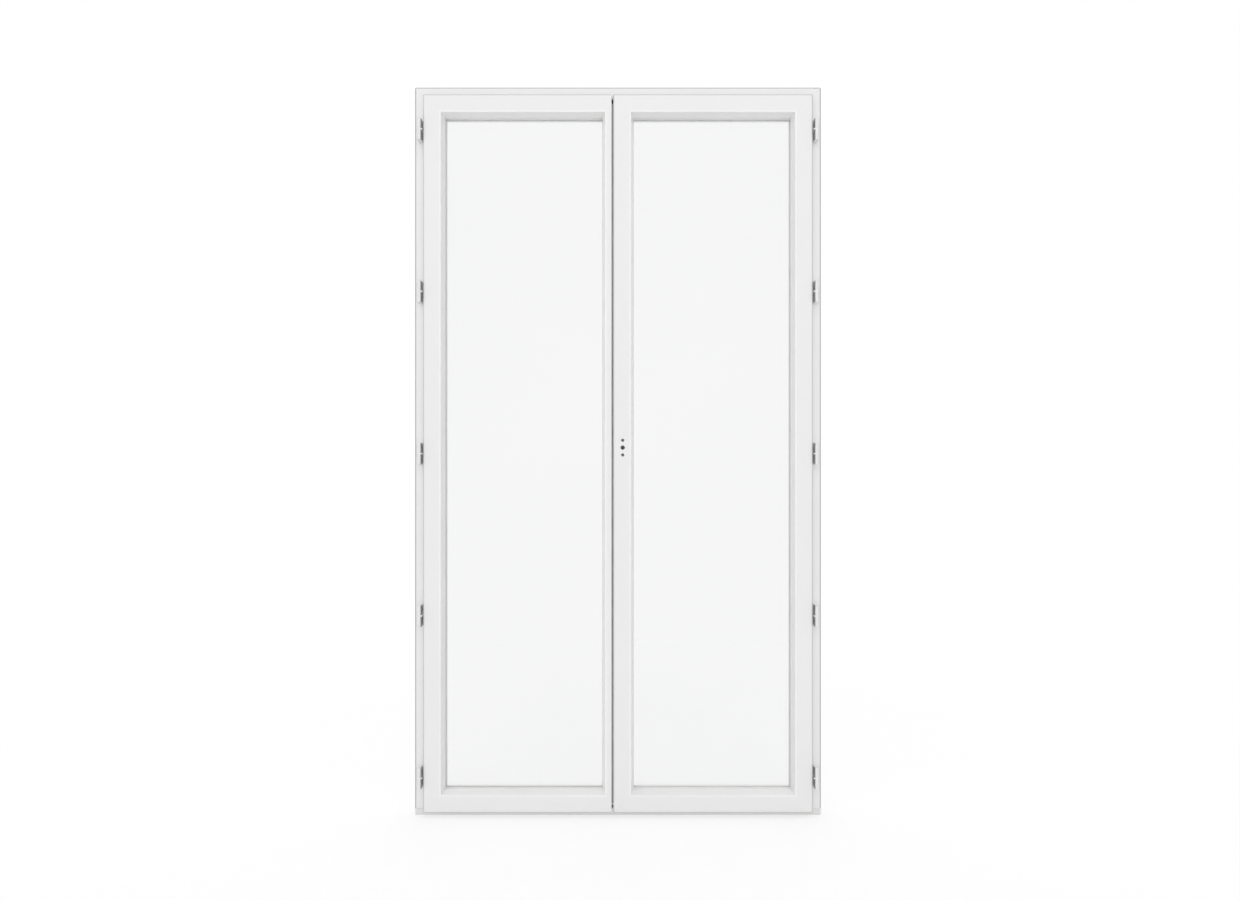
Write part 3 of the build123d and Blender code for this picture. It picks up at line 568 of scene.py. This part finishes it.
# %% Camera
metres_per_pixel = 0.002955
picture_width = 1240
distance = 2.65
camera_x = 0.006
camera_height = 1.078
front_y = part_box("outer_frame")[0].y
camera = bpy.data.objects.new("camera", bpy.data.cameras.new("camera"))
camera.data.sensor_width = 36.0
camera.data.lens = camera.data.sensor_width * distance / (metres_per_pixel * picture_width)
camera.location = (camera_x, front_y - distance, camera_height)
camera.rotation_euler = (math.pi / 2, 0, 0)
camera.data.clip_end = 50
bpy.context.scene.collection.objects.link(camera)
bpy.context.scene.camera = camera
print("lens", round(camera.data.lens, 2), "mm at", distance, "m")

# %% [markdown]
# ## Light
# The photograph has the look of a light tent: a wide, soft light from the front, a little from the left.
# Such a tent is a world whose strength depends on the direction: an even part, a wide lobe in front and one
# behind, and a weak one above. A lobe is the cosine of the angle to its middle, raised to a power.
# The camera, and what shows in glass and on shiny surfaces, see plain white instead.


# %% Helpers for the world
def world_maths(operation, first, second=0.0):
    """One sum on two numbers or sockets in the world's nodes, as a socket."""
    node = world.node_tree.nodes.new("ShaderNodeMath")
    node.operation = operation
    for socket, value in zip(node.inputs, (first, second)):
        if isinstance(value, bpy.types.NodeSocket):
            world.node_tree.links.new(value, socket)
        else:
            socket.default_value = value
    return node.outputs[0]


def lobe(direction, power, strength):
    """Strength times the cosine between the ray and the direction, raised to a power; nothing behind it."""
    towards = np.asarray(direction, float)
    towards = towards / np.linalg.norm(towards)
    dot = world.node_tree.nodes.new("ShaderNodeVectorMath")
    dot.operation = "DOT_PRODUCT"
    world.node_tree.links.new(ray_direction, dot.inputs[0])
    dot.inputs[1].default_value = towards
    cosine = world_maths("MAXIMUM", dot.outputs["Value"], 0.0)
    return world_maths("MULTIPLY", world_maths("POWER", cosine, power), strength)


world = bpy.data.worlds.new("studio")
bpy.context.scene.world = world
world.use_nodes = True
background = world.node_tree.nodes["Background"]
background.inputs["Color"].default_value = (1, 1, 1, 1)
ray_direction = world.node_tree.nodes.new("ShaderNodeTexCoord").outputs["Generated"]
rays = world.node_tree.nodes.new("ShaderNodeLightPath")
print("world nodes are ready")

# %% World
lobe_power = 3.0
front_lobe = lobe((-0.08, -1.0, 0.05), lobe_power, 1.4)
back_lobe = lobe((0.0, 1.0, 0.05), lobe_power, 1.3)
top_light = lobe((0.0, 0.0, 1.0), 2.0, 0.35)
even_light = 0.45
lobes = world_maths("ADD", front_lobe, back_lobe)
light = world_maths("ADD", lobes, world_maths("ADD", top_light, even_light))
seen = world_maths("MAXIMUM", rays.outputs["Is Camera Ray"], rays.outputs["Is Transmission Ray"])
seen = world_maths("MAXIMUM", seen, rays.outputs["Is Glossy Ray"])
strength = world.node_tree.nodes.new("ShaderNodeMix")
world.node_tree.links.new(seen, strength.inputs[0])
world.node_tree.links.new(light, strength.inputs[2])
strength.inputs[3].default_value = 1.0
world.node_tree.links.new(strength.outputs[0], background.inputs["Strength"])
print("lobes of power", lobe_power)

# %% [markdown]
# ## Floor
# The doors stand on a plain white floor that looks the same as the ground behind it.
# Its own shading, with the doors' shadow, is half of what the camera sees, and the rest is even white.
# Where no shadow falls the two add up to white, and further off only the white is left.


# %% Floor
floor_radius = 14
floor_corners = 96
floor_drop = 0.0005
shadow_reach = 1.2
plain_from = 2.4
own_share = 0.5
open_floor_brightness = 0.8


def make_floor():
    """A disc whose brightness for the camera is own_share of its shading, and white for the rest."""
    mesh = bpy.data.meshes.new("floor")
    turn = np.linspace(0, 2 * np.pi, floor_corners, endpoint=False)
    rim = np.stack([floor_radius * np.cos(turn), floor_radius * np.sin(turn), np.zeros(floor_corners)], axis=1)
    mesh.from_pydata(rim, [], [tuple(range(floor_corners))])
    floor = bpy.data.objects.new("floor", mesh)
    floor.location.z = -floor_drop
    bpy.context.scene.collection.objects.link(floor)
    material, surface, place = new_material("floor_finish")
    grain = spread(material, noise(material, place, 30.0, 3.0), 0.9, 0.91)
    colour = add_node(material, "ShaderNodeCombineColor", {0: grain, 1: grain, 2: grain}).outputs[0]
    join(material, colour, surface, "Base Color")
    surface.inputs["Roughness"].default_value = 0.9
    surface.inputs["Specular IOR Level"].default_value = 0.0
    reach = add_node(material, "ShaderNodeVectorMath", {0: place}, operation="LENGTH")
    inputs = {"Value": reach.outputs["Value"], "From Min": shadow_reach, "From Max": plain_from}
    inputs.update({"To Min": 1 - own_share, "To Max": 1.0})
    even = add_node(material, "ShaderNodeMapRange", inputs, interpolation_type="SMOOTHSTEP").outputs["Result"]
    rest = maths(material, "MULTIPLY", maths(material, "SUBTRACT", 1.0, even), open_floor_brightness)
    white = add_node(material, "ShaderNodeEmission")
    level = maths(material, "DIVIDE", maths(material, "SUBTRACT", 1.0, rest), even)
    material.node_tree.links.new(level, white.inputs["Strength"])
    path = add_node(material, "ShaderNodeLightPath")
    looked_at = maths(material, "MAXIMUM", path.outputs["Is Camera Ray"], path.outputs["Is Transmission Ray"])
    looked_at = maths(material, "MAXIMUM", looked_at, path.outputs["Is Glossy Ray"])
    share = maths(material, "MULTIPLY", even, looked_at)
    mixed = add_node(material, "ShaderNodeMixShader", {0: share, 1: surface.outputs[0], 2: white.outputs[0]})
    output = material.node_tree.nodes["Material Output"]
    material.node_tree.links.new(mixed.outputs[0], output.inputs["Surface"])
    mesh.materials.append(material)
    return floor


make_floor()
bpy.context.scene.view_settings.view_transform = "Standard"
print("floor is ready")
